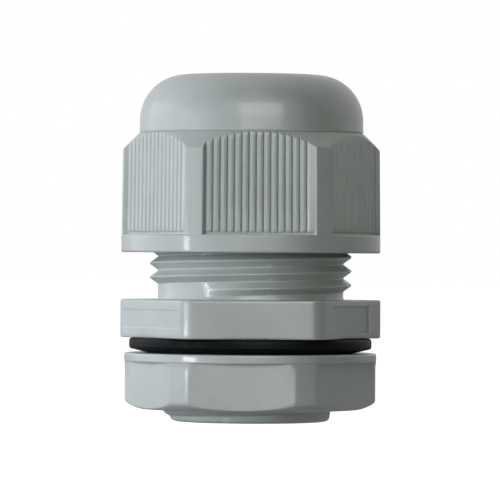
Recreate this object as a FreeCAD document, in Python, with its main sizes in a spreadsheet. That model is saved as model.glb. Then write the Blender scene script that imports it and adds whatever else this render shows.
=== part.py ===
"""Nylon cable gland for an M25 entry: body, dome nut, seal, clamping claw, gasket and locknut.

Millimetres, +Z up along the cable. The origin is the centre of the entry thread's open end, on the
face that the gland stands on. The dome nut is drawn part of the way down its thread.
"""

import FreeCAD, Part
import math
import os

import Sketcher

SHEET = "Sizes"

SIZES = {
    # Entry thread: M25 with a pitch of 1.5, and the plain pilot in front of it
    "entry_major_radius": 12.45,
    "entry_minor_radius": 11.58,
    "entry_pitch": 1.5,
    "entry_flank_slope": 0.577,
    "entry_root_half_width": 0.1,
    "entry_thread_start": -1.65,
    "entry_thread_height": 12.0,
    "pilot_radius": 11.45,
    "pilot_nose_radius": 10.6,
    "pilot_nose_height": 0.85,
    "pilot_height": 1.25,
    # Dome thread, on which the dome nut runs
    "dome_major_radius": 14.45,
    "dome_minor_radius": 13.25,
    "dome_pitch": 2.0,
    "dome_flank_slope": 0.7265,
    "dome_root_half_width": 0.06,
    "dome_thread_start": 16.5,
    "dome_thread_height": 18.0,
    # Gland body
    "body_hex_bottom": 11.94,
    "body_hex_height": 5.46,
    "body_half_across_flats": 16.5,
    "body_corner_reach": 18.57,
    "body_turn": 1.0,
    "body_edge_round": 0.22,
    "core_radius": 13.2,
    "neck_radius": 13.3,
    "neck_top": 18.3,
    "shoulder_top": 18.95,
    "body_top": 33.0,
    "rim_chamfer": 0.5,
    "entry_bore_radius": 10.0,
    "chamber_bottom": 18.25,
    "chamber_radius": 10.6,
    "claw_seat_bottom": 27.0,
    "claw_seat_radius": 11.8,
    "panel_width": 11.2,
    "panel_height": 3.9,
    "panel_depth": 0.35,
    "faint_panel_width": 16.0,
    "faint_panel_height": 2.7,
    "faint_panel_depth": 0.1,
    # Dome nut
    "nut_bottom": 24.06,
    "nut_turn": 3.8,
    "nut_height": 25.37,
    "flange_radius": 18.5,
    "flange_height": 2.54,
    "flange_round": 0.25,
    "dome_radius": 15.95,
    "dome_round": 6.5,
    "ridge_half_across_flats": 16.03,
    "ridge_corner_reach": 18.2,
    "ridge_bottom": 2.8,
    "ridge_top": 16.99,
    "ridge_radius": 0.47,
    "ridge_pitch": 1.01,
    "pad_reach": 18.4,
    "pad_half_width": 1.15,
    "pad_chamfer": 0.29,
    "pad_root_reach": 14.0,
    "bevel_top_radius": 16.1,
    "bevel_top_height": 17.04,
    "bevel_size": 3.4,
    "nut_lead_in": 1.25,
    "nut_thread_top": 11.14,
    "nut_thread_height": 15.0,
    "nut_relief_radius": 14.65,
    "nut_relief_top": 15.34,
    "nut_cone_bottom_radius": 12.14,
    "nut_cone_top": 22.44,
    "nut_cone_top_radius": 10.79,
    "nut_seal_pocket_top": 23.14,
    "nut_seal_pocket_radius": 10.7,
    "mouth_radius": 9.5,
    "mouth_round": 0.8,
    # Clearance between a thread and its nut, along the axis and at the tips
    "thread_play": 0.14,
    "thread_tip_play": 0.19,
    "thread_overcut": 0.05,
    # Clamping claw
    "claw_inner_radius": 10.6,
    "claw_outer_radius": 11.75,
    "finger_bottom": 33.25,
    "finger_height": 7.25,
    "finger_root_half_width": 0.25,
    "finger_hinge_radius": 11.2,
    "finger_shoulder": 0.65,
    "finger_tip_thickness": 0.7,
    "finger_tip_bevel": 0.3,
    "finger_angle": 23.9,
    # Seal
    "seal_bottom": 24.6,
    "seal_bore_radius": 9.0,
    "seal_radius": 10.4,
    "seal_taper_bottom": 15.0,
    "seal_taper_top": 21.9,
    "seal_tip_radius": 9.85,
    "seal_height": 22.5,
    # Gasket
    "gasket_bottom": 9.83,
    "gasket_bore_radius": 12.6,
    "gasket_foot_radius": 14.9,
    "gasket_radius": 17.32,
    "gasket_rim_bottom": 0.6,
    "gasket_height": 2.07,
    "gasket_rim_bevel": 0.12,
    # Locknut
    "locknut_bottom": 1.8,
    "locknut_turn": -4.8,
    "locknut_hex_height": 6.9,
    "locknut_height": 7.99,
    "locknut_half_across_flats": 16.27,
    "locknut_corner_reach": 17.86,
    "locknut_ring_radius": 18.05,
    "locknut_ring_bottom": 6.76,
    "locknut_ring_round": 0.25,
    "locknut_bevel_radius": 16.1,
    "locknut_bevel_height": 1.875,
    "locknut_bevel_run": 2.7,
    "locknut_lead_in": 0.95,
    "locknut_thread_height": 12.0,
}

FINGERS = 12
FACES = 6
RIDGES_PER_FACE = 15

ORIGIN_POINT = -1
HORIZONTAL_AXIS = -1
VERTICAL_AXIS = -2
START = 1
CENTRE = 3
NEAR = 0.02


class Size:
    """A dimension of the sheet, or one worked out from others: its value now and its expression."""

    def __init__(self, value, text):
        self.value = value
        self.text = text

    def combined(self, sign, other, value):
        return Size(value, f"({self.text} {sign} {expression(other)})")

    def __add__(self, other):
        return self.combined("+", other, self.value + plain(other))

    def __sub__(self, other):
        return self.combined("-", other, self.value - plain(other))

    def __mul__(self, other):
        return self.combined("*", other, self.value * plain(other))

    def __neg__(self):
        return self * -1


def plain(length):
    """The number behind a size, or the number itself."""
    return length.value if isinstance(length, Size) else length


def expression(length):
    """The text that binds a property to a size, or the number as text."""
    return length.text if isinstance(length, Size) else repr(length)


def size(alias):
    """A cell of the sheet by its alias."""
    return Size(SIZES[alias], f"{SHEET}.{alias}")


def fill_sheet(document):
    """Write every driving dimension into the document's sheet."""
    sheet = document.addObject("Spreadsheet::Sheet", SHEET)
    for row, (alias, value) in enumerate(SIZES.items(), start=1):
        sheet.set(f"A{row}", alias)
        sheet.set(f"B{row}", str(value))
        sheet.setAlias(f"B{row}", alias)
    document.recompute()


# Sketches ----------------------------------------------------------------------------------------


def origin_feature(body, role):
    """One of the body's own origin planes or axes."""
    return next(feature for feature in body.Origin.OriginFeatures if feature.Role == role)


def new_sketch(body, name, role):
    """An empty sketch lying on one of the body's origin planes."""
    sketch = body.newObject("Sketcher::SketchObject", name)
    sketch.AttachmentSupport = [(origin_feature(body, role), "")]
    sketch.MapMode = "FlatFace"
    return sketch


def fix_point(sketch, kind, line, point, distance):
    """Hold a point of a line at a distance from the sketch's origin, along one of its axes."""
    value = plain(distance)
    if value == 0:
        axis = VERTICAL_AXIS if kind == "DistanceX" else HORIZONTAL_AXIS
        sketch.addConstraint(Sketcher.Constraint("PointOnObject", line, point, axis))
        return
    ends = (ORIGIN_POINT, START, line, point)
    if value < 0:
        distance = -distance
        ends = (line, point, ORIGIN_POINT, START)
    index = sketch.addConstraint(Sketcher.Constraint(kind, *ends, abs(value)))
    sketch.setExpression(f"Constraints[{index}]", expression(distance))


def draw_outline(sketch, points):
    """A closed outline of straight lines, with every corner bound to the sheet."""
    corners = [FreeCAD.Vector(plain(across), plain(along), 0) for across, along in points]
    count = len(corners)
    for index in range(count):
        sketch.addGeometry(Part.LineSegment(corners[index], corners[(index + 1) % count]), False)
    for index in range(count):
        previous = (index - 1) % count
        sketch.addConstraint(Sketcher.Constraint("Coincident", previous, 2, index, START))
    for index, (across, along) in enumerate(points):
        fix_point(sketch, "DistanceX", index, START, across)
        fix_point(sketch, "DistanceY", index, START, along)


def draw_circles(sketch, centres, radius):
    """Equal circles, the first one's radius and every centre bound to the sheet."""
    normal = FreeCAD.Vector(0, 0, 1)
    for index, (across, along) in enumerate(centres):
        centre = FreeCAD.Vector(plain(across), plain(along), 0)
        sketch.addGeometry(Part.Circle(centre, normal, plain(radius)), False)
        if index:
            sketch.addConstraint(Sketcher.Constraint("Equal", 0, index))
        fix_point(sketch, "DistanceX", index, CENTRE, across)
        fix_point(sketch, "DistanceY", index, CENTRE, along)
    index = sketch.addConstraint(Sketcher.Constraint("Radius", 0, plain(radius)))
    sketch.setExpression(f"Constraints[{index}]", expression(radius))


def lift(sketch, height):
    """Raise a horizontal sketch above its plane."""
    sketch.AttachmentOffset = FreeCAD.Placement(FreeCAD.Vector(0, 0, plain(height)), FreeCAD.Rotation())
    sketch.setExpression("AttachmentOffset.Base.z", expression(height))


def truncated_hexagon(half_across_flats, corner_reach):
    """The 12 corners of a hexagon whose points are cut off, with one flat facing -Y."""
    corners = []
    along = (corner_reach - half_across_flats * math.cos(math.pi / 6)) * 2
    for face in range(FACES):
        turn = math.radians(360 / FACES * face - 90)
        for side in (-1, 1):
            across = half_across_flats * math.cos(turn) - along * (side * math.sin(turn))
            up = half_across_flats * math.sin(turn) + along * (side * math.cos(turn))
            corners.append((across, up))
    return corners


# Features ----------------------------------------------------------------------------------------


def new_body(document, label, height, turn):
    """A body with its own label, set at its height and turned about the gland's axis."""
    body = document.addObject("PartDesign::Body", label)
    body.Label = label
    spin = FreeCAD.Rotation(FreeCAD.Vector(0, 0, 1), plain(turn))
    body.Placement = FreeCAD.Placement(FreeCAD.Vector(0, 0, plain(height)), spin)
    if isinstance(height, Size):
        body.setExpression("Placement.Base.z", expression(height))
    if isinstance(turn, Size):
        body.setExpression("Placement.Rotation.Angle", expression(turn))
    return body


def revolve(body, name, points, kind="PartDesign::Revolution"):
    """Turn a closed profile of (radius, height) corners about the body's vertical axis."""
    sketch = new_sketch(body, name + "_profile", "XZ_Plane")
    draw_outline(sketch, points)
    feature = body.newObject(kind, name)
    feature.Profile = sketch
    feature.ReferenceAxis = (sketch, ["V_Axis"])
    feature.Angle = 360
    return feature


def groove(body, name, points):
    """Cut a turned profile away, and make sure that it really removes material."""
    before = body.Tip.Shape.Volume
    feature = revolve(body, name, points, "PartDesign::Groove")
    body.Document.recompute()
    if feature.Shape.Volume >= before:
        raise RuntimeError(f"{name} cuts nothing")
    return feature


def pad(body, name, sketch, height):
    """Raise a sketch into a solid of the given height."""
    feature = body.newObject("PartDesign::Pad", name)
    feature.Profile = sketch
    feature.Length = plain(height)
    feature.setExpression("Length", expression(height))
    return feature


def repeat_round(body, name, originals, count):
    """Repeat features evenly about the body's vertical axis."""
    feature = body.newObject("PartDesign::PolarPattern", name)
    feature.Originals = originals
    feature.Axis = (origin_feature(body, "Z_Axis"), [""])
    feature.Angle = 360
    feature.Occurrences = count
    body.Tip = feature
    return feature


def cut_thread(body, name, narrow, wide, pitch, start, height):
    """Cut a right-hand V groove. narrow and wide are (radius, half width) of its two ends."""
    before = body.Tip.Shape.Volume
    sketch = new_sketch(body, name + "_profile", "XZ_Plane")
    draw_outline(
        sketch,
        [
            (narrow[0], start - narrow[1]),
            (wide[0], start - wide[1]),
            (wide[0], start + wide[1]),
            (narrow[0], start + narrow[1]),
        ],
    )
    feature = body.newObject("PartDesign::SubtractiveHelix", name)
    feature.Profile = sketch
    feature.ReferenceAxis = (sketch, ["V_Axis"])
    feature.Mode = 0
    feature.Pitch = plain(pitch)
    feature.Height = plain(height)
    feature.setExpression("Pitch", expression(pitch))
    feature.setExpression("Height", expression(height))
    feature.LeftHanded = False
    feature.Reversed = False
    body.Document.recompute()
    if feature.Shape.Volume >= before:
        raise RuntimeError(f"{name} cuts nothing")
    return feature


def outer_groove_half_width(thread, radius):
    """Half the width of an outer thread's groove at a radius."""
    depth = radius - size(f"{thread}_minor_radius")
    return size(f"{thread}_root_half_width") + depth * size(f"{thread}_flank_slope")


def cut_outer_thread(body, thread):
    """The V groove of the thread on the gland body."""
    root = size(f"{thread}_minor_radius")
    outside = size(f"{thread}_major_radius") + size("thread_overcut")
    cut_thread(
        body,
        f"{thread}_thread",
        (root, outer_groove_half_width(thread, root)),
        (outside, outer_groove_half_width(thread, outside)),
        size(f"{thread}_pitch"),
        size(f"{thread}_thread_start"),
        size(f"{thread}_thread_height"),
    )


def inner_groove_half_width(thread, radius):
    """Half the width of the nut's groove at a radius: what the outer thread and the play leave."""
    return size(f"{thread}_pitch") * 0.5 - outer_groove_half_width(thread, radius) + size("thread_play")


def bore_radius(thread):
    """The nut's bore, at the tips of its thread."""
    return size(f"{thread}_minor_radius") + size("thread_tip_play")


def cut_inner_thread(body, thread, turn, start, height):
    """The V groove in a nut, in step with the outer thread. start is at the body's own zero angle."""
    root = size(f"{thread}_major_radius") + size("thread_play")
    inside = bore_radius(thread) - size("thread_overcut")
    pitch = size(f"{thread}_pitch")
    cut_thread(
        body,
        f"{thread}_nut_thread",
        (root, inner_groove_half_width(thread, root)),
        (inside, inner_groove_half_width(thread, inside)),
        pitch,
        start + pitch * 0.5 + pitch * (turn - size("body_turn")) * (1 / 360),
        height,
    )


def edges_where(shape, test):
    """Names of the edges that pass a test on their two ends."""
    names = []
    for index, edge in enumerate(shape.Edges, start=1):
        ends = [vertex.Point for vertex in edge.Vertexes]
        if test(edge, ends):
            names.append(f"Edge{index}")
    return names


def round_edges(body, name, test, radius):
    """Round the tip's edges that pass a test."""
    body.Document.recompute()
    base = body.Tip
    feature = body.newObject("PartDesign::Fillet", name)
    feature.Base = (base, edges_where(base.Shape, test))
    feature.Radius = plain(radius)
    feature.setExpression("Radius", expression(radius))
    return feature


def circle_at(radius, height):
    """A test for a full circle about the axis, of one radius at one height."""

    def test(edge, ends):
        round_one = isinstance(edge.Curve, Part.Circle) and abs(edge.Curve.Radius - plain(radius)) < NEAR
        return round_one and abs(edge.Curve.Center.z - plain(height)) < NEAR

    return test


def hexagon_edge(half_across_flats):
    """A test for the edges of a truncated hexagon, which all end at its corners."""

    def test(edge, ends):
        return all(math.hypot(end.x, end.y) > plain(half_across_flats) for end in ends)

    return test


def sink_panel(body, name, turn):
    """A shallow rectangular panel sunk into a hexagon flat whose normal is turned from -Y."""
    half_width = size(f"{name}_width") * 0.5
    half_height = size(f"{name}_height") * 0.5
    depth = size(f"{name}_depth")
    middle = size("body_hex_bottom") + size("body_hex_height") * 0.5
    sketch = new_sketch(body, name + "_outline", "XZ_Plane")
    face = size("body_half_across_flats")
    spin = FreeCAD.Rotation(FreeCAD.Vector(0, 1, 0), turn)
    out = spin.multVec(FreeCAD.Vector(0, 0, 1))
    sketch.AttachmentOffset = FreeCAD.Placement(out * plain(face), spin)
    sketch.setExpression("AttachmentOffset.Base.x", expression(face * out.x))
    sketch.setExpression("AttachmentOffset.Base.z", expression(face * out.z))
    draw_outline(
        sketch,
        [
            (-half_width, middle - half_height),
            (half_width, middle - half_height),
            (half_width, middle + half_height),
            (-half_width, middle + half_height),
        ],
    )
    before = body.Tip.Shape.Volume
    feature = body.newObject("PartDesign::Pocket", name)
    feature.Profile = sketch
    feature.Length = plain(depth)
    feature.setExpression("Length", expression(depth))
    body.Document.recompute()
    if feature.Shape.Volume >= before:
        raise RuntimeError(f"{name} cuts nothing")


# Sub-parts ---------------------------------------------------------------------------------------


def make_gland_body(document):
    """Entry thread, hexagon, neck and dome thread in one moulding, bored through."""
    body = new_body(document, "gland_body", 0, size("body_turn"))
    hex_bottom = size("body_hex_bottom")
    hex_top = hex_bottom + size("body_hex_height")
    top = size("body_top")
    major = size("dome_major_radius")
    entry = size("entry_major_radius")
    pilot = size("pilot_radius")
    lead = entry - pilot
    revolve(
        body,
        "turned_outside",
        [
            (0, 0),
            (size("pilot_nose_radius"), 0),
            (pilot, size("pilot_nose_height")),
            (pilot, size("pilot_height")),
            (entry, size("pilot_height") + lead),
            (entry, hex_bottom),
            (size("core_radius"), hex_bottom),
            (size("core_radius"), hex_top),
            (size("neck_radius"), hex_top),
            (size("neck_radius"), size("neck_top")),
            (major, size("shoulder_top")),
            (major, top - size("rim_chamfer")),
            (major - size("rim_chamfer"), top),
            (0, top),
        ],
    )
    document.recompute()
    cut_outer_thread(body, "entry")
    cut_outer_thread(body, "dome")

    outline = new_sketch(body, "hexagon_outline", "XY_Plane")
    lift(outline, hex_bottom)
    draw_outline(outline, truncated_hexagon(size("body_half_across_flats"), size("body_corner_reach")))
    pad(body, "hexagon", outline, size("body_hex_height"))
    round_edges(body, "hexagon_round", hexagon_edge(size("body_half_across_flats")), size("body_edge_round"))
    document.recompute()

    sink_panel(body, "panel", 360 / FACES)
    sink_panel(body, "faint_panel", -360 / FACES)
    groove(
        body,
        "bore",
        [
            (0, -1),
            (size("entry_bore_radius"), -1),
            (size("entry_bore_radius"), size("chamber_bottom")),
            (size("chamber_radius"), size("chamber_bottom")),
            (size("chamber_radius"), size("claw_seat_bottom")),
            (size("claw_seat_radius"), size("claw_seat_bottom")),
            (size("claw_seat_radius"), top + 1),
            (0, top + 1),
        ],
    )
    return body


def make_sealing_nut(document):
    """Dome nut: flange, ribbed hexagon with smooth corner pads, bevel, dome and stepped bore."""
    body = new_body(document, "sealing_nut", size("nut_bottom"), size("nut_turn"))
    flange = size("flange_height")
    height = size("nut_height")
    dome = size("dome_radius")
    revolve(
        body,
        "turned_outside",
        [
            (0, 0),
            (size("flange_radius"), 0),
            (size("flange_radius"), flange),
            (dome, flange),
            (dome, height),
            (0, height),
        ],
    )
    round_edges(body, "dome_round", circle_at(dome, height), size("dome_round"))
    round_edges(body, "flange_bottom_round", circle_at(size("flange_radius"), 0), size("flange_round"))
    round_edges(body, "flange_top_round", circle_at(size("flange_radius"), flange), size("flange_round"))
    document.recompute()

    outline = new_sketch(body, "hexagon_outline", "XY_Plane")
    lift(outline, flange * 0.5)
    draw_outline(outline, truncated_hexagon(size("ridge_half_across_flats"), size("ridge_corner_reach")))
    pad(body, "hexagon", outline, size("ridge_top") - flange * 0.5)

    rows = new_sketch(body, "ridge_circles", "XY_Plane")
    lift(rows, size("ridge_bottom"))
    middle = (RIDGES_PER_FACE - 1) // 2
    centres = [
        (size("ridge_pitch") * (index - middle) if index != middle else 0, -size("ridge_half_across_flats"))
        for index in range(RIDGES_PER_FACE)
    ]
    draw_circles(rows, centres, size("ridge_radius"))
    ridges = pad(body, "ridges", rows, size("ridge_top") - size("ridge_bottom"))

    reach = size("pad_reach")
    half = size("pad_half_width")
    bevel = size("pad_chamfer")
    block = new_sketch(body, "corner_outline", "XY_Plane")
    lift(block, flange * 0.5)
    draw_outline(
        block,
        [
            (size("pad_root_reach"), -(half + bevel)),
            (reach - bevel, -(half + bevel)),
            (reach, -half),
            (reach, half),
            (reach - bevel, half + bevel),
            (size("pad_root_reach"), half + bevel),
        ],
    )
    corner = pad(body, "corner_pad", block, size("ridge_top") - flange * 0.5)
    repeat_round(body, "around_the_nut", [ridges, corner], FACES)
    document.recompute()

    bevel_size = size("bevel_size")
    low = size("bevel_top_height")
    wide = size("bevel_top_radius")
    groove(
        body,
        "top_bevel",
        [(wide, low), (wide + bevel_size, low - bevel_size), (wide + bevel_size, low)],
    )
    bore = bore_radius("dome")
    relief = size("nut_relief_radius")
    groove(
        body,
        "bore",
        [
            (0, -1),
            (relief, -1),
            (relief, 0),
            (bore, size("nut_lead_in")),
            (bore, size("nut_thread_top")),
            (relief, size("nut_thread_top")),
            (relief, size("nut_relief_top")),
            (size("nut_cone_bottom_radius"), size("nut_relief_top")),
            (size("nut_cone_top_radius"), size("nut_cone_top")),
            (size("nut_seal_pocket_radius"), size("nut_seal_pocket_top")),
            (size("mouth_radius"), size("nut_seal_pocket_top")),
            (size("mouth_radius"), height + 1),
            (0, height + 1),
        ],
    )
    round_edges(body, "mouth_round", circle_at(size("mouth_radius"), height), size("mouth_round"))
    document.recompute()
    pitch = size("dome_pitch")
    start = size("dome_thread_start") + pitch * 2 - size("nut_bottom")
    cut_inner_thread(body, "dome", size("nut_turn"), start, size("nut_thread_height"))
    return body


def make_sealing_insert(document):
    """Rubber sleeve with a straight bore and a tapered top that the nut's cone closes on."""
    body = new_body(document, "sealing_insert", size("seal_bottom"), 0)
    revolve(
        body,
        "sleeve",
        [
            (size("seal_bore_radius"), 0),
            (size("seal_radius"), 0),
            (size("seal_radius"), size("seal_taper_bottom")),
            (size("seal_tip_radius"), size("seal_taper_top")),
            (size("seal_tip_radius"), size("seal_height")),
            (size("seal_bore_radius"), size("seal_height")),
        ],
    )
    return body


def make_claw_ring(document):
    """The claw's closed ring, seated in the body's mouth."""
    body = new_body(document, "claw_ring", size("claw_seat_bottom"), 0)
    height = size("body_top") - size("claw_seat_bottom")
    revolve(
        body,
        "ring",
        [
            (size("claw_inner_radius"), 0),
            (size("claw_outer_radius"), 0),
            (size("claw_outer_radius"), height),
            (size("claw_inner_radius"), height),
        ],
    )
    return body


def make_claw_finger(document, number):
    """One finger of the claw: a sector of a thin sleeve on a narrow root, tapering to its tip."""
    turn = 360 / FINGERS * (number - 1)
    body = new_body(document, f"claw_finger_{number:02d}", size("finger_bottom"), turn)
    hinge = size("finger_hinge_radius")
    root = size("finger_root_half_width")
    inner = size("claw_inner_radius")
    outer = size("claw_outer_radius")
    shoulder = size("finger_shoulder")
    top = size("finger_height")
    bevel = size("finger_tip_bevel")
    finger = revolve(
        body,
        "finger",
        [
            (hinge - root, 0),
            (hinge + root, 0),
            (outer, shoulder),
            (outer, top - bevel),
            (outer - bevel, top),
            (outer - size("finger_tip_thickness"), top),
            (inner, shoulder),
        ],
    )
    finger.Midplane = True
    finger.Angle = plain(size("finger_angle"))
    finger.setExpression("Angle", expression(size("finger_angle")))
    return body


def make_gasket(document):
    """Sealing washer with a dished underside."""
    body = new_body(document, "gasket", size("gasket_bottom"), 0)
    bevel = size("gasket_rim_bevel")
    height = size("gasket_height")
    rim = size("gasket_radius")
    revolve(
        body,
        "washer",
        [
            (size("gasket_bore_radius"), 0),
            (size("gasket_foot_radius"), 0),
            (rim, size("gasket_rim_bottom")),
            (rim, height - bevel),
            (rim - bevel, height),
            (size("gasket_bore_radius"), height),
        ],
    )
    return body


def make_locknut(document):
    """Locknut: truncated hexagon under a round ring, bevelled at the bottom."""
    body = new_body(document, "locknut", size("locknut_bottom"), size("locknut_turn"))
    ring = size("locknut_ring_radius")
    low = size("locknut_ring_bottom")
    height = size("locknut_height")
    outline = new_sketch(body, "hexagon_outline", "XY_Plane")
    draw_outline(outline, truncated_hexagon(size("locknut_half_across_flats"), size("locknut_corner_reach")))
    pad(body, "hexagon", outline, size("locknut_hex_height"))
    revolve(body, "ring", [(0, low), (ring, low), (ring, height), (0, height)])
    round_edges(body, "ring_round", circle_at(ring, height), size("locknut_ring_round"))
    document.recompute()
    foot = size("locknut_bevel_radius")
    run = size("locknut_bevel_run")
    rise = size("locknut_bevel_height")
    groove(body, "bottom_bevel", [(foot, 0), (foot + run, rise), (foot + run, 0)])
    bore = bore_radius("entry")
    wide = size("locknut_lead_in")
    groove(
        body,
        "bore",
        [
            (0, 0),
            (bore + wide, 0),
            (bore, wide),
            (bore, height - wide),
            (bore + wide, height),
            (0, height),
        ],
    )
    start = size("entry_thread_start") - size("locknut_bottom")
    cut_inner_thread(body, "entry", size("locknut_turn"), start, size("locknut_thread_height"))
    return body


# Checks and files --------------------------------------------------------------------------------


def check(document, bodies):
    """Stop unless every object computed and every sub-part is one valid solid."""
    for item in document.Objects:
        if {"Invalid", "Error"} & set(item.State):
            raise RuntimeError(f"{item.Label} is {item.State}")
    for body in bodies:
        shape = body.Shape
        if shape.isNull() or not shape.isValid() or len(shape.Solids) != 1:
            raise RuntimeError(f"{body.Label} is not one valid solid")
        print(f"{body.Label}: {shape.Volume:.1f} mm3, z {shape.BoundBox.ZMin:.2f} to {shape.BoundBox.ZMax:.2f}")


def main():
    document = FreeCAD.newDocument("cable_gland")
    fill_sheet(document)
    bodies = [
        make_gland_body(document),
        make_sealing_nut(document),
        make_sealing_insert(document),
        make_claw_ring(document),
        make_gasket(document),
        make_locknut(document),
    ]
    bodies += [make_claw_finger(document, number) for number in range(1, FINGERS + 1)]
    document.recompute()
    check(document, bodies)
    os.makedirs("parts", exist_ok=True)
    for body in bodies:
        body.Shape.exportStep(f"parts/{body.Label}.step")


main()
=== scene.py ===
"""Looks of the nylon cable gland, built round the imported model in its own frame.

Every moulded piece is a skin of rings about the gland's axis. Lengths are in millimetres until a
skin becomes a mesh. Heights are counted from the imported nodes.
"""

import math

import bpy
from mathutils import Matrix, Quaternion, Vector, noise


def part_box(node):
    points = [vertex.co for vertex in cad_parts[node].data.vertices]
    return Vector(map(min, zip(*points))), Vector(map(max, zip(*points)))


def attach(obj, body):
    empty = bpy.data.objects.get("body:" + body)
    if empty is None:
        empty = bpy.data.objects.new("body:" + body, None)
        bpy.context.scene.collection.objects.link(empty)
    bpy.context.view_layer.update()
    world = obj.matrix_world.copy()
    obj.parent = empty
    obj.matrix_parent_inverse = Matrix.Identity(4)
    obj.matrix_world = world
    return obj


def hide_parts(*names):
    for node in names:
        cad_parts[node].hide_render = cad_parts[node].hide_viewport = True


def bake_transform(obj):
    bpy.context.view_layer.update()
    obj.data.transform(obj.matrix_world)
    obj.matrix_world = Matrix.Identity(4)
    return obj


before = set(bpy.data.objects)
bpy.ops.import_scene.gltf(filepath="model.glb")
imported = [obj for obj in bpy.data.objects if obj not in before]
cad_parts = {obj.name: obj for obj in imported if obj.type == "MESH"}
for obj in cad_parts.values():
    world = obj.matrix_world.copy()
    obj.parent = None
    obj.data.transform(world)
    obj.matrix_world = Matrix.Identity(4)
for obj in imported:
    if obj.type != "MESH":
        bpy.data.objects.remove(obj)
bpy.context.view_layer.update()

MM = 0.001
FACES = 6
SECTOR = math.tau / FACES

# Points round a ring, outside and inside
NUT_COLUMNS = 204
BODY_COLUMNS = 216
GASKET_COLUMNS = 180
SEAL_COLUMNS = 144
EDGE_SOFTNESS = 0.22

# Threads: shares of the pitch at which a ridge is sampled, and how round its tip is
THREAD_SAMPLES = [-0.5, -0.47, -0.42, -0.34, -0.24, -0.15, -0.09, -0.05, -0.025, 0]
THREAD_SAMPLES += [-share for share in THREAD_SAMPLES[-2::-1]]
THREAD_ROUND = 0.12
THREAD_MARGIN = 0.04

# Dome nut. A corner is half an outline, along the corner's direction and across it
NUT_TURN = math.radians(-86.5)
NUT_PAD = [(18.4, 0), (18.4, 0.8), (18.4, 1.35), (18.37, 1.48), (18.3, 1.56), (18.15, 1.6)]
NUT_PAD_BACK = [(18.4, 0), (18.4, 0.6), (18.4, 1.1), (18.38, 1.2), (18.34, 1.27), (18.26, 1.31)]
NUT_DRAFT = 0.009
NUT_DRAFT_START = 0.3
NUT_ROOT = 14.6
FLANGE_RADIUS = 18.5
FLANGE_HEIGHT = 2.54
FLANGE_ROUND = 0.25
FLANGE_MARGIN = 0.03
WALL_EDGE = 0.07
RIBS = 14
RIB_PITCH = 1.01
RIB_FIRST = -6.82
RIB_HALF = 0.485
RIB_HEIGHT = 0.35
RIB_ARC = (14, 48, 90, 132, 166)
RIB_WIDE_ARC = (20, 45, 68, 90)
RIB_WIDE_END = [(0.02, 7.6), (0.08, 7.85)]
RIB_END_SHARES = (0.04, 0.15, 0.35, 0.65, 1)
RIB_ROW_STEP = 3.6
RIB_PLANE = 16.03
RIB_BOTTOM = 2.8
BEVEL_TOP = 17.02
BEVEL_TOP_RADIUS = 16.02
BEVEL_HEIGHT = 2.6
BEVEL_STEP = 0.11
DOME_RADIUS = 15.95
DOME_FOOT = [(-0.1, 0.01), (-0.08, 0.05), (0, 0.11), (0.03, 0.18), (0.03, 0.26)]
DOME_ROUND = 6.5
MOUTH_RADIUS = 9.5
MOUTH_ROUND = 0.8

# Gland body. Its panels are (half width, half height, depth) by face, the first one facing -Y
BODY_TURN = math.radians(-89)
BODY_CORNER = [(18.57, 0), (18.566, 0.25), (18.552, 0.48), (18.525, 0.7), (18.48, 0.92)]
BODY_FLAT = 16.5
HALF_FACE = [0.9, 1.8, 2.7, 3.6, 4.5, 5.3, 5.45, 5.52, 5.6, 6.6, 7.6, 7.85, 8]
PANELS = {1: (5.6, 1.95, 0.35), 5: (8, 1.35, 0.022)}
PANEL_WALL = 0.15
PANEL_ROWS = [-2.4, -1.95, -1.88, -1.8, -1.72, -1.42, -1.35, -1.28, -1.2, -1.12, -0.6]
PANEL_ROWS += [0] + [-row for row in reversed(PANEL_ROWS)]
HEX_BOTTOM = 11.94
HEX_HEIGHT = 5.46
HEX_ROUND = 0.25
HEX_ROUND_ANGLES = (0, 25, 50, 75)
NECK_RADIUS = 13.3
NECK_ROOT = 13.25
NOSE_RADIUS = 10.5
NOSE_HEIGHT = 0.85
PILOT_RADIUS = 11.45
ENTRY_ROOT = 11.58

# Locknut
LOCKNUT_TURN = math.radians(-94.2)
LOCKNUT_CORNER = [(17.86, 0), (17.86, 0.9), (17.855, 1.35), (17.83, 1.6), (17.78, 1.8)]
LOCKNUT_FLAT = 16.27
LOCKNUT_HALF_FACE = 7.05
LOCKNUT_COLUMNS = 27
LOCKNUT_ROOT = 12.59
LOCKNUT_FOOT = 15.7
LOCKNUT_REACH = 18.15
LOCKNUT_BEVEL = 1.5
LOCKNUT_BEVEL_SHARES = (0, 0.02, 0.06, 0.12, 0.2, 0.3, 0.42, 0.56, 0.7, 0.85, 1)
LOCKNUT_RING = 18
LOCKNUT_RING_HEIGHT = 1.23
LOCKNUT_RING_ROUND = 0.25
LOCKNUT_RING_FOOT = 0.17
LOCKNUT_RING_FOOT_ROUND = 0.14
LOCKNUT_SWELL_DROPS = (3.2, 1.6, 0.8, 0.55, 0.3, 0.12, 0)
LOCKNUT_SWELL_SLOPE = 0.22
LOCKNUT_SWELL_START = 17.35
LOCKNUT_SWELL_WIDTH = 0.4

# Claw
FINGERS = 12
FINGER_ANGLE = 23.9
FINGER_SIDE_TURN = 0.012

# Finishes
NYLON = (0.475, 0.525, 0.49)
# The dome nut's nylon is the body's nylon made a little lighter: painted light that stands in for more light
# on its ribs and dome.
NUT_NYLON_PAINTED_LIGHTER = (0.49, 0.541, 0.505)
# The locknut's nylon is the body's nylon made lighter still: painted light that stands in for light bounced
# up from the floor.
LOCKNUT_NYLON_PAINTED_LIGHTER = (0.51, 0.56, 0.52)
CLAW_NYLON = (0.46, 0.5, 0.48)
GASKET_RUBBER = (0.002, 0.0025, 0.0027)
SEAL_RUBBER = (0.016, 0.016, 0.017)

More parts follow.
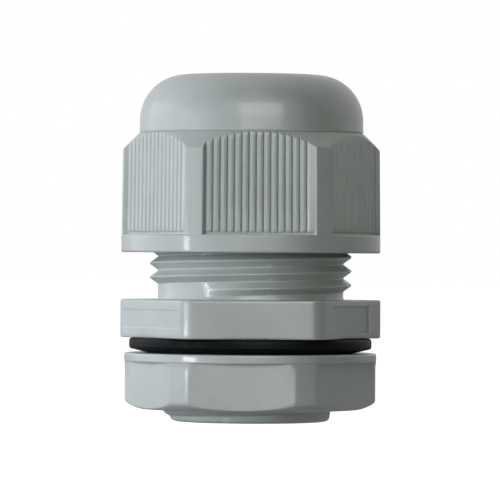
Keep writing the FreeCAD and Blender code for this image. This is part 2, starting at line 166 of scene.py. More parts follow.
# Studio, in metres
CAMERA_LENS = 327.6
CAMERA_PLACE = (-0.00012, -0.65, 0.0233)
CAMERA_TARGET = (-0.00012, 0, 0.02446)
CAMERA_ROLL = 0.33
LIGHT_TARGET = (0, 0, 0.026)
ROOM_LIGHT = 0.01
BACKDROP_LIGHT = 0.72
FLOOR_REACH = 6
FLOOR_HEIGHT = -0.0105
FLOOR_GREY = 0.48
FLOOR_GLOW = 0.9


def levels(node):
    """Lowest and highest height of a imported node, in millimetres."""
    low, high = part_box(node)
    return low.z / MM, high.z / MM


# Rings -------------------------------------------------------------------------------------------


def circle(count, radius, height, start):
    """A ring of evenly spaced points."""
    angles = [start + math.tau * index / count for index in range(count)]
    return [(radius * math.cos(angle), radius * math.sin(angle), height) for angle in angles]


def at_height(outline, height):
    """A flat outline lifted to a height."""
    return [(x, y, height) for x, y in outline]


def limited(outline, reach):
    """An outline pulled in to a largest radius, with a soft edge where it starts to bite."""
    result = []
    for x, y in outline:
        radius = math.hypot(x, y)
        scale = soft_min(radius, reach, EDGE_SOFTNESS) / radius
        result.append((x * scale, y * scale))
    return result


def no_less(outline, radius, margin):
    """A circle, swollen where the outline and a margin reach further."""
    result = []
    for x, y in outline:
        reach = math.hypot(x, y)
        scale = max(radius, reach + margin) / reach
        result.append((x * scale, y * scale))
    return result


def scaled(outline, factor):
    return [(x * factor, y * factor) for x, y in outline]


def on_circle(outline, radius):
    """The outline's points moved along their radii onto a circle."""
    result = []
    for x, y in outline:
        scale = radius / math.hypot(x, y)
        result.append((x * scale, y * scale))
    return result


def inset(outline, distance):
    """The outline's points moved towards the axis."""
    result = []
    for x, y in outline:
        scale = 1 - distance / math.hypot(x, y)
        result.append((x * scale, y * scale))
    return result


def turned_by(outline, angle):
    cosine, sine = math.cos(angle), math.sin(angle)
    return [(x * cosine - y * sine, x * sine + y * cosine) for x, y in outline]


def around(sector, turn):
    """A sector's outline, which starts at -30 degrees, repeated round the axis."""
    result = []
    for face in range(FACES):
        result += turned_by(sector, turn + SECTOR * face)
    return result


def corner(half):
    """A sector's first points, given along and across the direction of its start at -30 degrees."""
    return turned_by(half, -SECTOR / 2)


def mirrored(points):
    return [(x, -y) for x, y in reversed(points)]


def softened(corners, reach, steps=3):
    """A closed profile whose corners are small curves that start a given length before each."""
    result = []
    count = len(corners)
    for index in range(count):
        here = Vector(corners[index])
        before = Vector(corners[index - 1]) - here
        after = Vector(corners[(index + 1) % count]) - here
        first = here + before * min(reach / before.length, 0.45)
        last = here + after * min(reach / after.length, 0.45)
        for step in range(steps + 1):
            share = step / steps
            point = first * (1 - share) ** 2 + here * (2 * share * (1 - share)) + last * share**2
            result.append((point.x, point.y))
    return result


def soft_min(first, second, softness):
    """The smaller of two numbers, rounded where they cross."""
    blend = max(softness - abs(first - second), 0) / softness
    return min(first, second) - blend * blend * softness / 4


def smooth(value):
    """A smooth step from 0 to 1."""
    value = min(max(value, 0), 1)
    return value * value * (3 - 2 * value)


def arc(centre, radius, first, last, steps):
    """(radius, height) points of an arc in the profile, angles in degrees from outwards to up."""
    points = []
    for index in range(steps + 1):
        angle = math.radians(first + (last - first) * index / steps)
        points.append((centre[0] + radius * math.cos(angle), centre[1] + radius * math.sin(angle)))
    return points


# Skins -------------------------------------------------------------------------------------------


class Skin:
    """A closed shape of rings: up the outside, in over the top, down the inside and out again."""

    def __init__(self):
        self.points = []
        self.faces = []
        self.first = None
        self.last = None

    def store(self, ring):
        start = len(self.points)
        self.points += ring
        return list(range(start, start + len(ring)))

    def ring(self, ring):
        """Add a ring and the faces that join it to the one before."""
        indices = self.store(ring)
        if self.last is not None:
            self.join(self.last, indices)
        self.first = self.first or indices
        self.last = indices

    def turned(self, profile, count, start):
        """Add circles through the (radius, height) points of a profile."""
        for radius, height in profile:
            self.ring(circle(count, radius, height, start))

    def join(self, before, after):
        """Faces between two rings. One may have a whole multiple of the other's points."""
        count = min(len(before), len(after))
        low_step, high_step = len(before) // count, len(after) // count
        for index in range(count):
            low = [before[(index * low_step + k) % len(before)] for k in range(low_step + 1)]
            high = [after[(index * high_step + k) % len(after)] for k in range(high_step + 1)]
            self.faces.append(low + high[::-1])

    def close(self):
        self.join(self.last, self.first)

    def thread(self, thread, start, inward=False):
        """Add a helical ridge on a plain wall, and the faces that join it to the ring before.

        The wall goes up when the ridge points outward and down when it points inward. The ring
        after it has to have as many points and the same start.
        """
        count = thread.columns
        span = round(count * thread.turns)
        rows = len(thread.profile)
        column = {}
        for step in range(span + 1):
            angle = thread.seam + math.tau * step / count
            base = thread.crest_at_zero + thread.pitch * angle / math.tau
            kept = rows if step + count > span else rows - 1
            for row in range(kept):
                across, rise = thread.profile[row]
                height = base + across
                radius = thread.wall(height) + rise * thread.fade(angle) * (-1 if inward else 1)
                column[step, row] = len(self.points)
                self.points.append((radius * math.cos(angle), radius * math.sin(angle), height))
        for step in range(span + 1 - count):
            column[step, rows - 1] = column[step + count, 0]

        made = []
        for step in range(span):
            for row in range(rows - 1):
                low = [column[step, row], column[step + 1, row]]
                made.append(low + [column[step + 1, row + 1], column[step, row + 1]])

        shift = round((thread.seam - start) / math.tau * count)
        below = self.store(circle(count, thread.wall(thread.low()), thread.low(), start))
        above = self.store(circle(count, thread.wall(thread.high()), thread.high(), start))
        for step in range(count):
            here, there = (shift + step) % count, (shift + step + 1) % count
            rise = [column[0, row] for row in range(rows)] if step == count - 1 else [column[step + 1, 0]]
            made.append([below[here], below[there]] + rise + [column[step, 0]])
            top = span - count + step
            here, there = (here + span) % count, (there + span) % count
            fall = [column[span, row] for row in range(rows - 1, 0, -1)] if step == 0 else []
            ridge = [column[top, rows - 1], column[top + 1, rows - 1]]
            made.append(ridge + [above[there], above[here]] + fall)
        if inward:
            made = [face[::-1] for face in made]
            below, above = above, below
        self.join(self.last, below)
        self.faces += made
        self.last = above

    def build(self, name, smooth_angle=30):
        """Turn the rings into a mesh object, in metres."""
        mesh = bpy.data.meshes.new(name)
        mesh.from_pydata([(x * MM, y * MM, z * MM) for x, y, z in self.points], [], self.faces)
        mesh.validate()
        piece = bpy.data.objects.new(name, mesh)
        bpy.context.scene.collection.objects.link(piece)
        mesh.shade_smooth()
        mesh.set_sharp_from_angle(angle=math.radians(smooth_angle))
        return piece


class Thread:
    """A right-hand ridge on a wall of the given radius, fading in and out at its ends."""

    def __init__(
        self, pitch, depth, tip, slope, crest_at_zero, seam, turns, columns, wall, fade_in, fade_out
    ):
        self.pitch = pitch
        self.crest_at_zero = crest_at_zero
        self.seam = seam
        self.turns = turns
        self.columns = columns
        self.wall = wall
        self.fade_in = fade_in
        self.fade_out = fade_out
        self.profile = []
        for share in THREAD_SAMPLES:
            across = pitch * share
            flank = depth - max(abs(across) - tip, 0) / slope
            rise = soft_min(flank, depth - THREAD_ROUND * 0.3, THREAD_ROUND)
            self.profile.append((across, max(rise, 0)))

    def fade(self, angle):
        """How much of the ridge has grown at an angle along the helix."""
        first, grown = self.fade_in
        falling, last = self.fade_out
        return smooth((angle - first) / (grown - first)) * smooth((last - angle) / (last - falling))

    def low(self):
        return self.crest_at_zero + self.pitch * (self.seam / math.tau - 0.5) - THREAD_MARGIN

    def high(self):
        return self.crest_at_zero + self.pitch * (self.seam / math.tau + self.turns + 0.5) + THREAD_MARGIN


# Pieces ------------------------------------------------------------------------------------------


def finish_piece(piece, body, slot, material, *nodes):
    """Give a piece its body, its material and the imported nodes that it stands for."""
    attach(piece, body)
    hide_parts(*nodes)
    piece.data.materials.append(material)


def rib_point(rise, middle, angle):
    """A point of a rib's rounded section, at an angle in degrees."""
    turn = math.radians(angle)
    return RIB_PLANE + rise * RIB_HEIGHT * math.sin(turn), middle - RIB_HALF * math.cos(turn)


def nut_sector(rise):
    """One side of the dome nut: half a corner pad, the ribs, a wide last rib and the next half pad.

    rise is how far the ribs stand up, from 0 to 1.
    """
    face = []
    for index in range(RIBS):
        middle = RIB_FIRST + index * RIB_PITCH
        face.append((RIB_PLANE, middle - RIB_PITCH / 2))
        face += [rib_point(rise, middle, angle) for angle in RIB_ARC]
    middle = RIB_FIRST + RIBS * RIB_PITCH
    face.append((RIB_PLANE, middle - RIB_PITCH / 2))
    face += [rib_point(rise, middle, angle) for angle in RIB_WIDE_ARC]
    face += [(RIB_PLANE + rise * (RIB_HEIGHT + more), across) for more, across in RIB_WIDE_END]
    return corner(NUT_PAD) + face + mirrored(corner(NUT_PAD_BACK))[:-1]


def add_flange(skin, outline, bottom):
    """The dome nut's round flange, wide enough everywhere to carry the hexagon on it."""
    inner = FLANGE_RADIUS - FLANGE_ROUND
    for radius, height in arc((inner, bottom + FLANGE_ROUND), FLANGE_ROUND, -90, 0, 4):
        skin.ring(at_height(on_circle(outline, radius), height))
    wall_top = bottom + FLANGE_HEIGHT - FLANGE_ROUND
    for height in (bottom + FLANGE_ROUND + WALL_EDGE, wall_top - WALL_EDGE):
        skin.ring(at_height(on_circle(outline, FLANGE_RADIUS), height))
    for radius, height in arc((inner, wall_top), FLANGE_ROUND, 0, 90, 4):
        skin.ring(at_height(no_less(outline, radius, FLANGE_MARGIN), height))


def add_ribbed_hexagon(skin, bottom):
    """The ribbed hexagon, from the flange to the bevel that the dome grows out of."""
    low = bottom + FLANGE_HEIGHT
    ribs = bottom + RIB_BOTTOM
    top = bottom + BEVEL_TOP
    rows = [(low, 0), (low + 0.1, 0), (ribs, 0)]
    for share in RIB_END_SHARES:
        rows.append((ribs + RIB_HALF * share, math.sqrt(1 - (1 - share) ** 2)))
    for step in range(1, 4):
        rows.append((ribs + step * RIB_ROW_STEP, 1))
    height = top - BEVEL_HEIGHT
    while height < top:
        rows.append((height, 1))
        height += BEVEL_STEP
    for height, rise in rows:
        draft = 1 + NUT_DRAFT * (NUT_DRAFT_START - (height - low) / (top - low))
        outline = scaled(around(nut_sector(rise), NUT_TURN), draft)
        skin.ring(at_height(limited(outline, BEVEL_TOP_RADIUS + top - height), height))


def make_dome_nut(material):
    """The compression nut: flange, ribbed hexagon, dome, mouth, seal cone and thread."""
    bottom, top = levels("sealing_nut")
    start = NUT_TURN - SECTOR / 2
    outline = around(nut_sector(0), NUT_TURN)
    thread = Thread(
        pitch=2, depth=1.14, tip=0.05, slope=0.7265, crest_at_zero=26.5, seam=start, turns=4,
        columns=NUT_COLUMNS, wall=lambda height: NUT_ROOT,
        fade_in=(start + 0.3, start + 1.5), fade_out=(start + math.tau * 3.8, start + math.tau * 4),
    )
    skin = Skin()
    skin.ring(circle(NUT_COLUMNS, NUT_ROOT + 0.35, bottom, start))
    add_flange(skin, outline, bottom)
    add_ribbed_hexagon(skin, bottom)
    shoulder = top - DOME_ROUND + 0.06
    for out, up in DOME_FOOT:
        skin.ring(at_height(on_circle(outline, DOME_RADIUS + out), bottom + BEVEL_TOP + up))
    for height in (shoulder - 2 * WALL_EDGE, shoulder):
        skin.ring(at_height(on_circle(outline, DOME_RADIUS), height))
    centre = (DOME_RADIUS - DOME_ROUND, shoulder)
    lip = (MOUTH_RADIUS + MOUTH_ROUND, top - MOUTH_ROUND)
    for radius, height in arc(centre, DOME_ROUND, 3, 81.4, 18):
        skin.ring(at_height(on_circle(outline, radius), height))
    for radius, height in arc(lip, MOUTH_ROUND, 90, 180, 8):
        skin.ring(at_height(on_circle(outline, radius), height))
    profile = [
        (MOUTH_RADIUS, top - 1.6),
        (MOUTH_RADIUS, top - 2.1),
        (MOUTH_RADIUS + 0.1, top - 2.22),
        (10.6, top - 2.22),
        (10.75, top - 2.4),
        (10.82, top - 3),
        (12.1, top - 9.85),
        (12.3, top - 10.02),
        (14.4, top - 10.02),
        (NUT_ROOT, top - 10.25),
        (NUT_ROOT, top - 13),
    ]
    skin.turned(profile, NUT_COLUMNS, start)
    skin.thread(thread, start, inward=True)
    skin.turned([(NUT_ROOT, bottom + 0.4), (NUT_ROOT + 0.1, bottom + 0.12)], NUT_COLUMNS, start)
    skin.close()
    piece = skin.build("dome_nut_moulding")
    finish_piece(piece, "dome_nut", "nut_nylon", material, "sealing_nut")


def body_sector():
    """One side of the body's hexagon."""
    edge = corner(BODY_CORNER)
    face = [(BODY_FLAT, side) for side in face_stations()]
    return edge + face + mirrored(edge)[:-1]


def face_stations():
    """Places across a flat of the body's hexagon, with pairs where the panels' edges are."""
    return [-side for side in reversed(HALF_FACE)] + [0] + HALF_FACE


def panel_depth(face, across, height):
    """How deep a point of a hexagon flat lies in that face's sunk panel."""
    if face not in PANELS:
        return 0
    half_width, half_height, depth = PANELS[face]
    inside = min(half_width - abs(across), half_height - abs(height))
    return depth * smooth(inside / PANEL_WALL)


def body_outline(height):
    """The hexagon's outline at a height above its middle, with the panels sunk in."""
    stations = face_stations()
    first = len(BODY_CORNER)
    result = []
    for face in range(FACES):
        sector = body_sector()
        for index, across in enumerate(stations):
            depth = panel_depth(face, across, height)
            sector[first + index] = (BODY_FLAT - depth, across)
        angle = BODY_TURN + SECTOR * face
        result += turned_by(sector, angle)
    return result


def add_body_hexagon(skin, bottom):
    """The spanner hexagon with its rounded edges and sunk panels."""
    middle = bottom + HEX_HEIGHT / 2
    half = HEX_HEIGHT / 2
    turns = [math.radians(angle) for angle in HEX_ROUND_ANGLES]
    rows = [-half + HEX_ROUND * (1 - math.cos(turn)) for turn in turns]
    insets = [HEX_ROUND * (1 - math.sin(turn)) for turn in turns]
    for row, distance in zip(rows, insets):
        skin.ring(at_height(inset(body_outline(row), distance), middle + row))
    for row in PANEL_ROWS:
        skin.ring(at_height(body_outline(row), middle + row))
    for row, distance in zip(reversed(rows), reversed(insets)):
        skin.ring(at_height(inset(body_outline(-row), distance), middle - row))


def nose_wall(height):
    """Radius under the entry thread: rounded nose, plain pilot, then the thread's root."""
    if height < NOSE_HEIGHT:
        share = 1 - height / NOSE_HEIGHT
        return NOSE_RADIUS + (PILOT_RADIUS - NOSE_RADIUS) * math.sqrt(1 - share * share)
    return PILOT_RADIUS + (ENTRY_ROOT - PILOT_RADIUS) * smooth((height - 1.2) / 0.4)


def make_gland_body(material):
    """The body: bores, entry thread, hexagon, neck and dome thread."""
    bottom, top = levels("gland_body")
    start = BODY_TURN - SECTOR / 2
    entry_seam = start + math.tau * 162 / BODY_COLUMNS
    entry = Thread(
        pitch=1.5, depth=0.87, tip=0.13, slope=0.577, crest_at_zero=0.6, seam=entry_seam, turns=6,
        columns=BODY_COLUMNS, wall=nose_wall,
        fade_in=(entry_seam, entry_seam + 0.5), fade_out=(entry_seam + 35.5, entry_seam + 37.2),
    )
    dome = Thread(
        pitch=2, depth=1.2, tip=0.06, slope=0.7265, crest_at_zero=19.5, seam=start, turns=6.5,
        columns=BODY_COLUMNS, wall=lambda height: NECK_ROOT,
        fade_in=(start, start + 0.62), fade_out=(start + 39.4, start + 40.7),
    )
    skin = Skin()
    for radius, height in ((10.15, 0.02), (10.35, 0), (NOSE_RADIUS, 0.01), (nose_wall(0.12), 0.12)):
        skin.ring(circle(BODY_COLUMNS, radius, bottom + height, start))
    skin.turned([(nose_wall(0.28), bottom + 0.28)], BODY_COLUMNS, start)
    skin.thread(entry, start)
    hex_bottom = bottom + HEX_BOTTOM
    skin.turned([(ENTRY_ROOT, hex_bottom - 0.35), (ENTRY_ROOT + 0.2, hex_bottom)], BODY_COLUMNS, start)
    add_body_hexagon(skin, hex_bottom)
    hex_top = hex_bottom + HEX_HEIGHT
    neck = [
        (NECK_RADIUS + 0.9, hex_top),
        (NECK_RADIUS + 0.14, hex_top),
        (NECK_RADIUS + 0.04, hex_top + 0.06),
        (NECK_RADIUS, hex_top + 0.18),
    ]
    skin.turned(neck, BODY_COLUMNS, start)
    skin.thread(dome, start)
    rim = [
        (NECK_ROOT, top - 0.3),
        (NECK_ROOT - 0.08, top - 0.08),
        (NECK_ROOT - 0.28, top),
        (11.95, top),
        (11.8, top - 0.15),
        (11.8, top - 5.9),
        (11.7, top - 6),
        (10.7, top - 6),
        (10.6, top - 6.1),
        (10.6, top - 14.6),
        (10.45, top - 14.75),
        (10.1, top - 14.75),
        (10, top - 14.85),
        (10, bottom + 9),
        (10, bottom + 0.17),
    ]
    skin.turned(rim, BODY_COLUMNS, start)
    skin.close()
    piece = skin.build("gland_body_moulding")
    finish_piece(piece, "housing", "body_nylon", material, "gland_body")


def locknut_outline():
    """The locknut's hexagon with its rounded corners."""
    edge = corner(LOCKNUT_CORNER)
    last = LOCKNUT_COLUMNS - 1
    shares = [2 * index / last - 1 for index in range(LOCKNUT_COLUMNS)]
    face = [(LOCKNUT_FLAT, LOCKNUT_HALF_FACE * share) for share in shares]
    return around(edge + face + mirrored(edge)[:-1], LOCKNUT_TURN)


def merged_ring(outline, radius, drop):
    """The hexagon swelling out to the round ring above it, slowly at its corners only."""
    result = []
    for x, y in outline:
        reach = math.hypot(x, y)
        corner_share = smooth((reach - LOCKNUT_SWELL_START) / LOCKNUT_SWELL_WIDTH)
        swollen = max(reach, radius - drop * LOCKNUT_SWELL_SLOPE)
        scale = 1 + (swollen / reach - 1) * corner_share
        result.append((x * scale, y * scale))
    return result


def make_locknut(material):
    """The locknut: truncated hexagon bevelled at the bottom, round ring on top and thread."""
    bottom, top = levels("locknut")
    start = LOCKNUT_TURN - SECTOR / 2
    outline = locknut_outline()
    thread = Thread(
        pitch=1.5, depth=0.82, tip=0.09, slope=0.577, crest_at_zero=4.35, seam=start, turns=3,
        columns=BODY_COLUMNS, wall=lambda height: LOCKNUT_ROOT,
        fade_in=(start + 0.2, start + 1.2), fade_out=(start + 17.6, start + 18.8),
    )
    skin = Skin()
    skin.turned([(LOCKNUT_ROOT + 0.25, bottom), (14, bottom)], BODY_COLUMNS, start)
    for share in LOCKNUT_BEVEL_SHARES:
        reach = LOCKNUT_FOOT + (LOCKNUT_REACH - LOCKNUT_FOOT) * (1 - (1 - share) ** 1.7)
        height = bottom + LOCKNUT_BEVEL * share ** 1.15
        skin.ring(at_height(limited(outline, reach), height))
    ring_bottom = top - LOCKNUT_RING_HEIGHT
    for drop in LOCKNUT_SWELL_DROPS:
        skin.ring(at_height(merged_ring(outline, LOCKNUT_RING, drop), ring_bottom - drop))
    wall_bottom = ring_bottom + LOCKNUT_RING_FOOT
    wall_top = top - LOCKNUT_RING_ROUND
    foot = (LOCKNUT_RING - LOCKNUT_RING_FOOT_ROUND, wall_bottom)
    for radius, height in arc(foot, LOCKNUT_RING_FOOT_ROUND, -80, 0, 3):
        skin.ring(at_height(no_less(outline, radius, 0), height))
    for height in (wall_bottom + WALL_EDGE, wall_top - WALL_EDGE):
        skin.ring(at_height(on_circle(outline, LOCKNUT_RING), height))
    rim = (LOCKNUT_RING - LOCKNUT_RING_ROUND, wall_top)
    for radius, height in arc(rim, LOCKNUT_RING_ROUND, 0, 90, 4):
        skin.ring(at_height(on_circle(outline, radius), height))
    skin.turned([(16, top), (LOCKNUT_ROOT + 0.25, top), (LOCKNUT_ROOT, top - 0.2)], BODY_COLUMNS, start)
    skin.thread(thread, start, inward=True)
    skin.turned([(LOCKNUT_ROOT, bottom + 0.5), (LOCKNUT_ROOT + 0.06, bottom + 0.12)], BODY_COLUMNS, start)
    skin.close()
    piece = skin.build("locknut_moulding")
    finish_piece(piece, "lock", "locknut_nylon", material, "locknut")


def make_gasket(material):
    """The rubber washer, dished underneath and a little uneven where it is squeezed."""
    bottom, top = levels("gasket")
    corners = [
        (12.6, bottom + 0.05),
        (14.9, bottom),
        (17.15, bottom + 0.55),
        (17.32, bottom + 0.8),
        (17.32, top - 0.35),
        (17.18, top - 0.06),
        (16.4, top),
        (12.6, top),
    ]
    profile = softened(corners, 0.12)
    skin = Skin()
    for radius, height in profile:
        ring = []
        for x, y, z in circle(GASKET_COLUMNS, radius, height, 0):
            slack = 0.035 * smooth((radius - 14.5) / 2.5)
            wave = noise.noise(Vector((x, y, 0)) * 0.09) * slack
            ring.append((x * (1 - abs(wave) * 0.02), y * (1 - abs(wave) * 0.02), z - abs(wave)))
        skin.ring(ring)
    skin.close()
    piece = skin.build("gasket_washer")
    finish_piece(piece, "washer", "gasket_rubber", material, "gasket")


def make_seal(material):
    """The rubber sleeve that closes on the cable."""
    bottom, top = levels("sealing_insert")
    corners = [(9, bottom), (10.4, bottom), (10.4, bottom + 15), (9.85, bottom + 21.9), (9.85, top), (9, top)]
    skin = Skin()
    skin.turned(softened(corners, 0.2), SEAL_COLUMNS, 0)
    skin.close()
    piece = skin.build("seal_sleeve")
    finish_piece(piece, "seal", "seal_rubber", material, "sealing_insert")


def make_claw_ring(material):
    """The closed ring that carries the claw's fingers."""
    bottom, top = levels("claw_ring")
    corners = [(10.6, bottom), (11.75, bottom), (11.75, top), (10.6, top)]
    skin = Skin()
    skin.turned(softened(corners, 0.15), SEAL_COLUMNS, 0)
    skin.close()
    piece = skin.build("claw_collar")
    finish_piece(piece, "housing", "claw_nylon", material, "claw_ring")


def make_claw_finger(number, material):
    """One finger of the claw, on a thin root that bends where it leaves the ring."""
    node = f"claw_finger_{number:02d}"
    top = levels(node)[1]
    ring_top = levels("claw_ring")[1]
    corners = [
        (10.95, ring_top - 0.05),
        (11.45, ring_top - 0.05),
        (11.42, ring_top + 0.2),
        (11.75, ring_top + 0.85),
        (11.75, top - 0.3),
        (11.45, top),
        (11.05, top),
        (10.6, ring_top + 0.85),
        (10.98, ring_top + 0.2),
    ]
    profile = softened(corners, 0.1)
    middle = (sum(radius for radius, height in profile) / len(profile), (ring_top + top) / 2)
    angle = math.tau / FINGERS * (number - 1)
    half = math.radians(FINGER_ANGLE / 2)
    skin = Skin()
    loops = []
    for turn, shrink in finger_stations(half):
        loop = []
        for radius, height in profile:
            radius += (middle[0] - radius) * shrink
            height += (middle[1] - height) * shrink * 0.1
            loop.append((radius * math.cos(angle + turn), radius * math.sin(angle + turn), height))
        loops.append(skin.store(loop))
    for before, after in zip(loops, loops[1:]):
        skin.join(after, before)
    skin.faces.append(loops[0])
    skin.faces.append(loops[-1][::-1])
    piece = skin.build(f"claw_leaf_{number:02d}")
    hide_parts(node)
    piece.data.materials.append(material)
    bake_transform(piece)


def finger_stations(half):
    """Angles across a finger with how far its section shrinks there, so that its sides are soft."""
    stations = [(-half, 0.25), (-half + 0.004, 0.08), (-half + FINGER_SIDE_TURN, 0)]
    stations += [((half - FINGER_SIDE_TURN) * step / 4, 0) for step in range(-3, 4)]
    return stations + [(half - FINGER_SIDE_TURN, 0), (half - 0.004, 0.08), (half, 0.25)]


# Materials ---------------------------------------------------------------------------------------


class Shader:
    """A new material, with short calls for its nodes and links."""

    def __init__(self, name):
        self.material = bpy.data.materials.new(name)
        self.material.use_nodes = True
        self.tree = self.material.node_tree
        self.surface = self.tree.nodes["Principled BSDF"]
        self.place = self.tree.nodes.new("ShaderNodeTexCoord").outputs["Object"]

    def noise(self, scale, detail=4, roughness=0.5, stretch=None):
        """Noise over the piece. scale is in features per millimetre."""
        node = self.tree.nodes.new("ShaderNodeTexNoise")
        node.inputs["Scale"].default_value = scale / MM
        node.inputs["Detail"].default_value = detail
        node.inputs["Roughness"].default_value = roughness
        place = self.place
        if stretch:
            mapping = self.tree.nodes.new("ShaderNodeMapping")
            mapping.inputs["Scale"].default_value = stretch
            self.tree.links.new(place, mapping.inputs["Vector"])
            place = mapping.outputs["Vector"]
        self.tree.links.new(place, node.inputs["Vector"])
        return node.outputs["Fac"]

    def ramp(self, value, low, high, first, last):
        """A value mapped from low..high to first..last, held at both ends."""
        node = self.tree.nodes.new("ShaderNodeMapRange")
        node.inputs["From Min"].default_value = low
        node.inputs["From Max"].default_value = high
        node.inputs["To Min"].default_value = first
        node.inputs["To Max"].default_value = last
        self.tree.links.new(value, node.inputs["Value"])
        return node.outputs["Result"]

    def mix(self, factor, first, last):
        """A colour between two, each a colour or another node's output."""
        node = self.tree.nodes.new("ShaderNodeMix")
        node.data_type = "RGBA"
        self.tree.links.new(factor, node.inputs["Factor"])
        for socket, colour in (("A", first), ("B", last)):
            target = next(item for item in node.inputs if item.name == socket and item.type == "RGBA")
            if isinstance(colour, tuple):
                target.default_value = (*colour, 1)
            else:
                self.tree.links.new(colour, target)
        return next(item for item in node.outputs if item.type == "RGBA")

    def edges(self, low, high):
        """1 along the piece's raised edges, 0 elsewhere."""
        geometry = self.tree.nodes.new("ShaderNodeNewGeometry")
        return self.ramp(geometry.outputs["Pointiness"], low, high, 0, 1)

    def add_bump(self, height, distance, strength=1):
        """Relief of a given depth in millimetres, on top of any relief already there."""
        node = self.tree.nodes.new("ShaderNodeBump")
        node.inputs["Strength"].default_value = strength
        node.inputs["Distance"].default_value = distance * MM
        self.tree.links.new(height, node.inputs["Height"])
        target = self.surface.inputs["Normal"]
        if target.is_linked:
            self.tree.links.new(target.links[0].from_socket, node.inputs["Normal"])
        self.tree.links.new(node.outputs["Normal"], target)

    def feed(self, socket, value):
        self.tree.links.new(value, self.surface.inputs[socket])


def moulded_nylon(name, colour, roughness):
    """Grey nylon: faintly mottled, with a painted highlight that makes raised edges paler, and a fine moulded
    grain.
    """
    shader = Shader(name)
    paler = tuple(value * 1.05 for value in colour)
    darker = tuple(value * 0.95 for value in colour)
    # Painted highlight: a paler colour laid along raised edges, where small rounded edges catch the light.
    edge_highlight = tuple(min(value * 1.16 + 0.02, 1) for value in colour)
    mottled = shader.mix(shader.ramp(shader.noise(0.16), 0.35, 0.65, 0, 1), darker, paler)
    speckled = shader.mix(shader.ramp(shader.noise(2.6, 2), 0.66, 0.8, 0, 0.35), mottled, darker)
    shader.feed("Base Color", shader.mix(shader.edges(0.515, 0.6), speckled, edge_highlight))
    sheen = shader.ramp(shader.noise(0.35, 6, 0.6), 0.3, 0.7, roughness - 0.05, roughness + 0.06)
    shader.feed("Roughness", sheen)
    shader.add_bump(shader.noise(0.22, 2), 0.03, 0.5)
    shader.add_bump(shader.noise(5.5, 3), 0.004, 0.5)
    shader.surface.inputs["IOR"].default_value = 1.5
    shader.surface.inputs["Coat Weight"].default_value = 0.4
    shader.surface.inputs["Coat Roughness"].default_value = 0.11
    return shader.material


def moulded_rubber(name, colour, roughness):
    """Black rubber: dull scuffs over a soft sheen, with a fine grain and mould dust."""
    shader = Shader(name)
    dusty = tuple(value * 2 + 0.0015 for value in colour)
    scuffs = shader.ramp(shader.noise(0.5, 8, 0.65, stretch=(1, 1, 2.5)), 0.5, 0.72, 0, 0.7)
    shader.feed("Base Color", shader.mix(scuffs, colour, dusty))
    sheen = shader.ramp(shader.noise(0.8, 6, 0.6), 0.3, 0.7, roughness - 0.08, roughness + 0.12)
    shader.feed("Roughness", sheen)
    shader.add_bump(shader.noise(0.6, 4), 0.03, 0.5)
    shader.add_bump(shader.noise(7, 3), 0.008, 0.6)
    shader.surface.inputs["IOR"].default_value = 1.5
    shader.surface.inputs["Specular IOR Level"].default_value = 0.13
    return shader.material


# Studio ------------------------------------------------------------------------------------------


def aimed(thing, position, target, roll=0):
    """Place a camera or light so that it looks at a point, rolled about its view in degrees."""
    thing.location = position
    view = Vector(target) - Vector(position)
    turn = view.to_track_quat("-Z", "Y")
    thing.rotation_mode = "QUATERNION"
    thing.rotation_quaternion = turn @ Quaternion((0, 0, 1), math.radians(roll))
    bpy.context.scene.collection.objects.link(thing)


def add_camera():
    """A long lens, nearly level with the gland, whose frame is a little wider than the gland."""
    camera = bpy.data.cameras.new("camera")
    camera.lens = CAMERA_LENS
    camera.sensor_width = 36
    camera.clip_start = 0.01
    thing = bpy.data.objects.new("camera", camera)
    aimed(thing, CAMERA_PLACE, CAMERA_TARGET, CAMERA_ROLL)
    bpy.context.scene.camera = thing


def add_light(name, direction, distance, size, watts, colour=(1, 1, 1), seen="everywhere"):
    """A rectangular softbox in a direction from the gland's middle, facing it.

    seen is everywhere, or gloss for a light that only shows in gloss, or matt for one that doesn't.
    """
    light = bpy.data.lights.new(name, "AREA")
    light.shape = "RECTANGLE"
    light.size, light.size_y = size
    light.energy = watts
    light.color = colour
    middle = Vector(LIGHT_TARGET)
    thing = bpy.data.objects.new(name, light)
    aimed(thing, middle + Vector(direction).normalized() * distance, middle)
    thing.visible_diffuse = seen != "gloss"
    thing.visible_glossy = seen != "matt"


def add_lights():
    """Bluish light from the left, warmer light from the front, and three reflections in the gloss."""
    add_light("left_box", (-1, 0.1, 0.17), 0.7, (1, 0.4), 1.9, (0.92, 0.9, 1))
    add_light("left_front_box", (-0.755, -0.656, 0.11), 0.9, (0.42, 0.3), 4.6, (0.82, 0.85, 1), "matt")
    add_light("front_box", (-0.32, -1, 0.2), 1.4, (0.6, 0.6), 2.05, (1, 0.94, 0.7), "matt")
    add_light("glint", (-0.843, -0.537, 0), 0.4, (0.036, 0.014), 0.045, seen="gloss")
    add_light("low_glint", (-0.83, -0.56, -0.062), 0.4, (0.09, 0.008), 0.12, seen="gloss")
    add_light("window", (0.17, -1, 0.41), 1.2, (0.95, 0.83), 10, seen="gloss")


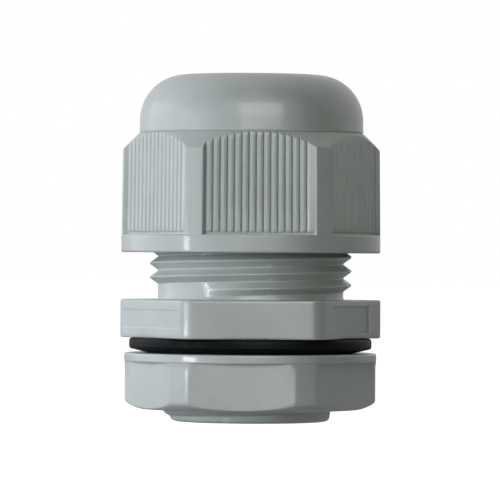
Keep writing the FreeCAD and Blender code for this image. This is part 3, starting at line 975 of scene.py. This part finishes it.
def light_up_world():
    """White where the camera sees it. As a light it is a bright backdrop and a dim room in front."""
    world = bpy.data.worlds.new("studio")
    bpy.context.scene.world = world
    world.use_nodes = True
    nodes, links = world.node_tree.nodes, world.node_tree.links
    background = nodes["Background"]
    background.inputs["Color"].default_value = (1, 1, 1, 1)
    place = nodes.new("ShaderNodeTexCoord")
    split = nodes.new("ShaderNodeSeparateXYZ")
    links.new(place.outputs["Generated"], split.inputs["Vector"])
    backdrop = nodes.new("ShaderNodeMapRange")
    backdrop.interpolation_type = "SMOOTHSTEP"
    backdrop.inputs["From Min"].default_value = -0.25
    backdrop.inputs["From Max"].default_value = 0.25
    backdrop.inputs["To Min"].default_value = ROOM_LIGHT
    backdrop.inputs["To Max"].default_value = BACKDROP_LIGHT
    links.new(split.outputs["Y"], backdrop.inputs["Value"])
    path = nodes.new("ShaderNodeLightPath")
    strength = nodes.new("ShaderNodeMapRange")
    strength.inputs["To Max"].default_value = 1
    links.new(backdrop.outputs["Result"], strength.inputs["To Min"])
    links.new(path.outputs["Is Camera Ray"], strength.inputs["Value"])
    links.new(strength.outputs["Result"], background.inputs["Strength"])


def add_floor():
    """A plain pale floor with only a faint shadow, low enough for the locknut to screw off above it."""
    mesh = bpy.data.meshes.new("floor")
    reach = FLOOR_REACH
    corners = [(-reach, -reach, 0), (reach, -reach, 0), (reach, reach, 0), (-reach, reach, 0)]
    mesh.from_pydata(corners, [], [(0, 1, 2, 3)])
    floor = bpy.data.objects.new("floor", mesh)
    floor.location.z = FLOOR_HEIGHT
    bpy.context.scene.collection.objects.link(floor)
    material = bpy.data.materials.new("pale_floor")
    material.use_nodes = True
    nodes, links = material.node_tree.nodes, material.node_tree.links
    surface = nodes["Principled BSDF"]
    surface.inputs["Base Color"].default_value = (FLOOR_GREY, FLOOR_GREY, FLOOR_GREY, 1)
    surface.inputs["Roughness"].default_value = 0.9
    surface.inputs["Specular IOR Level"].default_value = 0.1
    path = nodes.new("ShaderNodeLightPath")
    strength = nodes.new("ShaderNodeMapRange")
    strength.inputs["To Min"].default_value = 0
    strength.inputs["To Max"].default_value = FLOOR_GLOW
    links.new(path.outputs["Is Camera Ray"], strength.inputs["Value"])
    surface.inputs["Emission Color"].default_value = (1, 1, 1, 1)
    links.new(strength.outputs["Result"], surface.inputs["Emission Strength"])
    mesh.materials.append(material)


# Scene -------------------------------------------------------------------------------------------


def make_gland():
    """Every piece, each with its finish."""
    make_gland_body(moulded_nylon("body_nylon_look", NYLON, 0.42))
    # The dome nut and the locknut get lighter copies of the body's nylon, painted light in place of brighter
    # lighting.
    make_dome_nut(moulded_nylon("nut_nylon_painted_lighter", NUT_NYLON_PAINTED_LIGHTER, 0.44))
    make_locknut(moulded_nylon("locknut_nylon_painted_lighter", LOCKNUT_NYLON_PAINTED_LIGHTER, 0.4))
    make_gasket(moulded_rubber("gasket_rubber_look", GASKET_RUBBER, 0.46))
    make_seal(moulded_rubber("seal_rubber_look", SEAL_RUBBER, 0.55))
    claw = moulded_nylon("claw_nylon_look", CLAW_NYLON, 0.46)
    make_claw_ring(claw)
    for number in range(1, FINGERS + 1):
        make_claw_finger(number, claw)


make_gland()
add_camera()
add_lights()
light_up_world()
add_floor()
bpy.context.scene.view_settings.view_transform = "Standard"
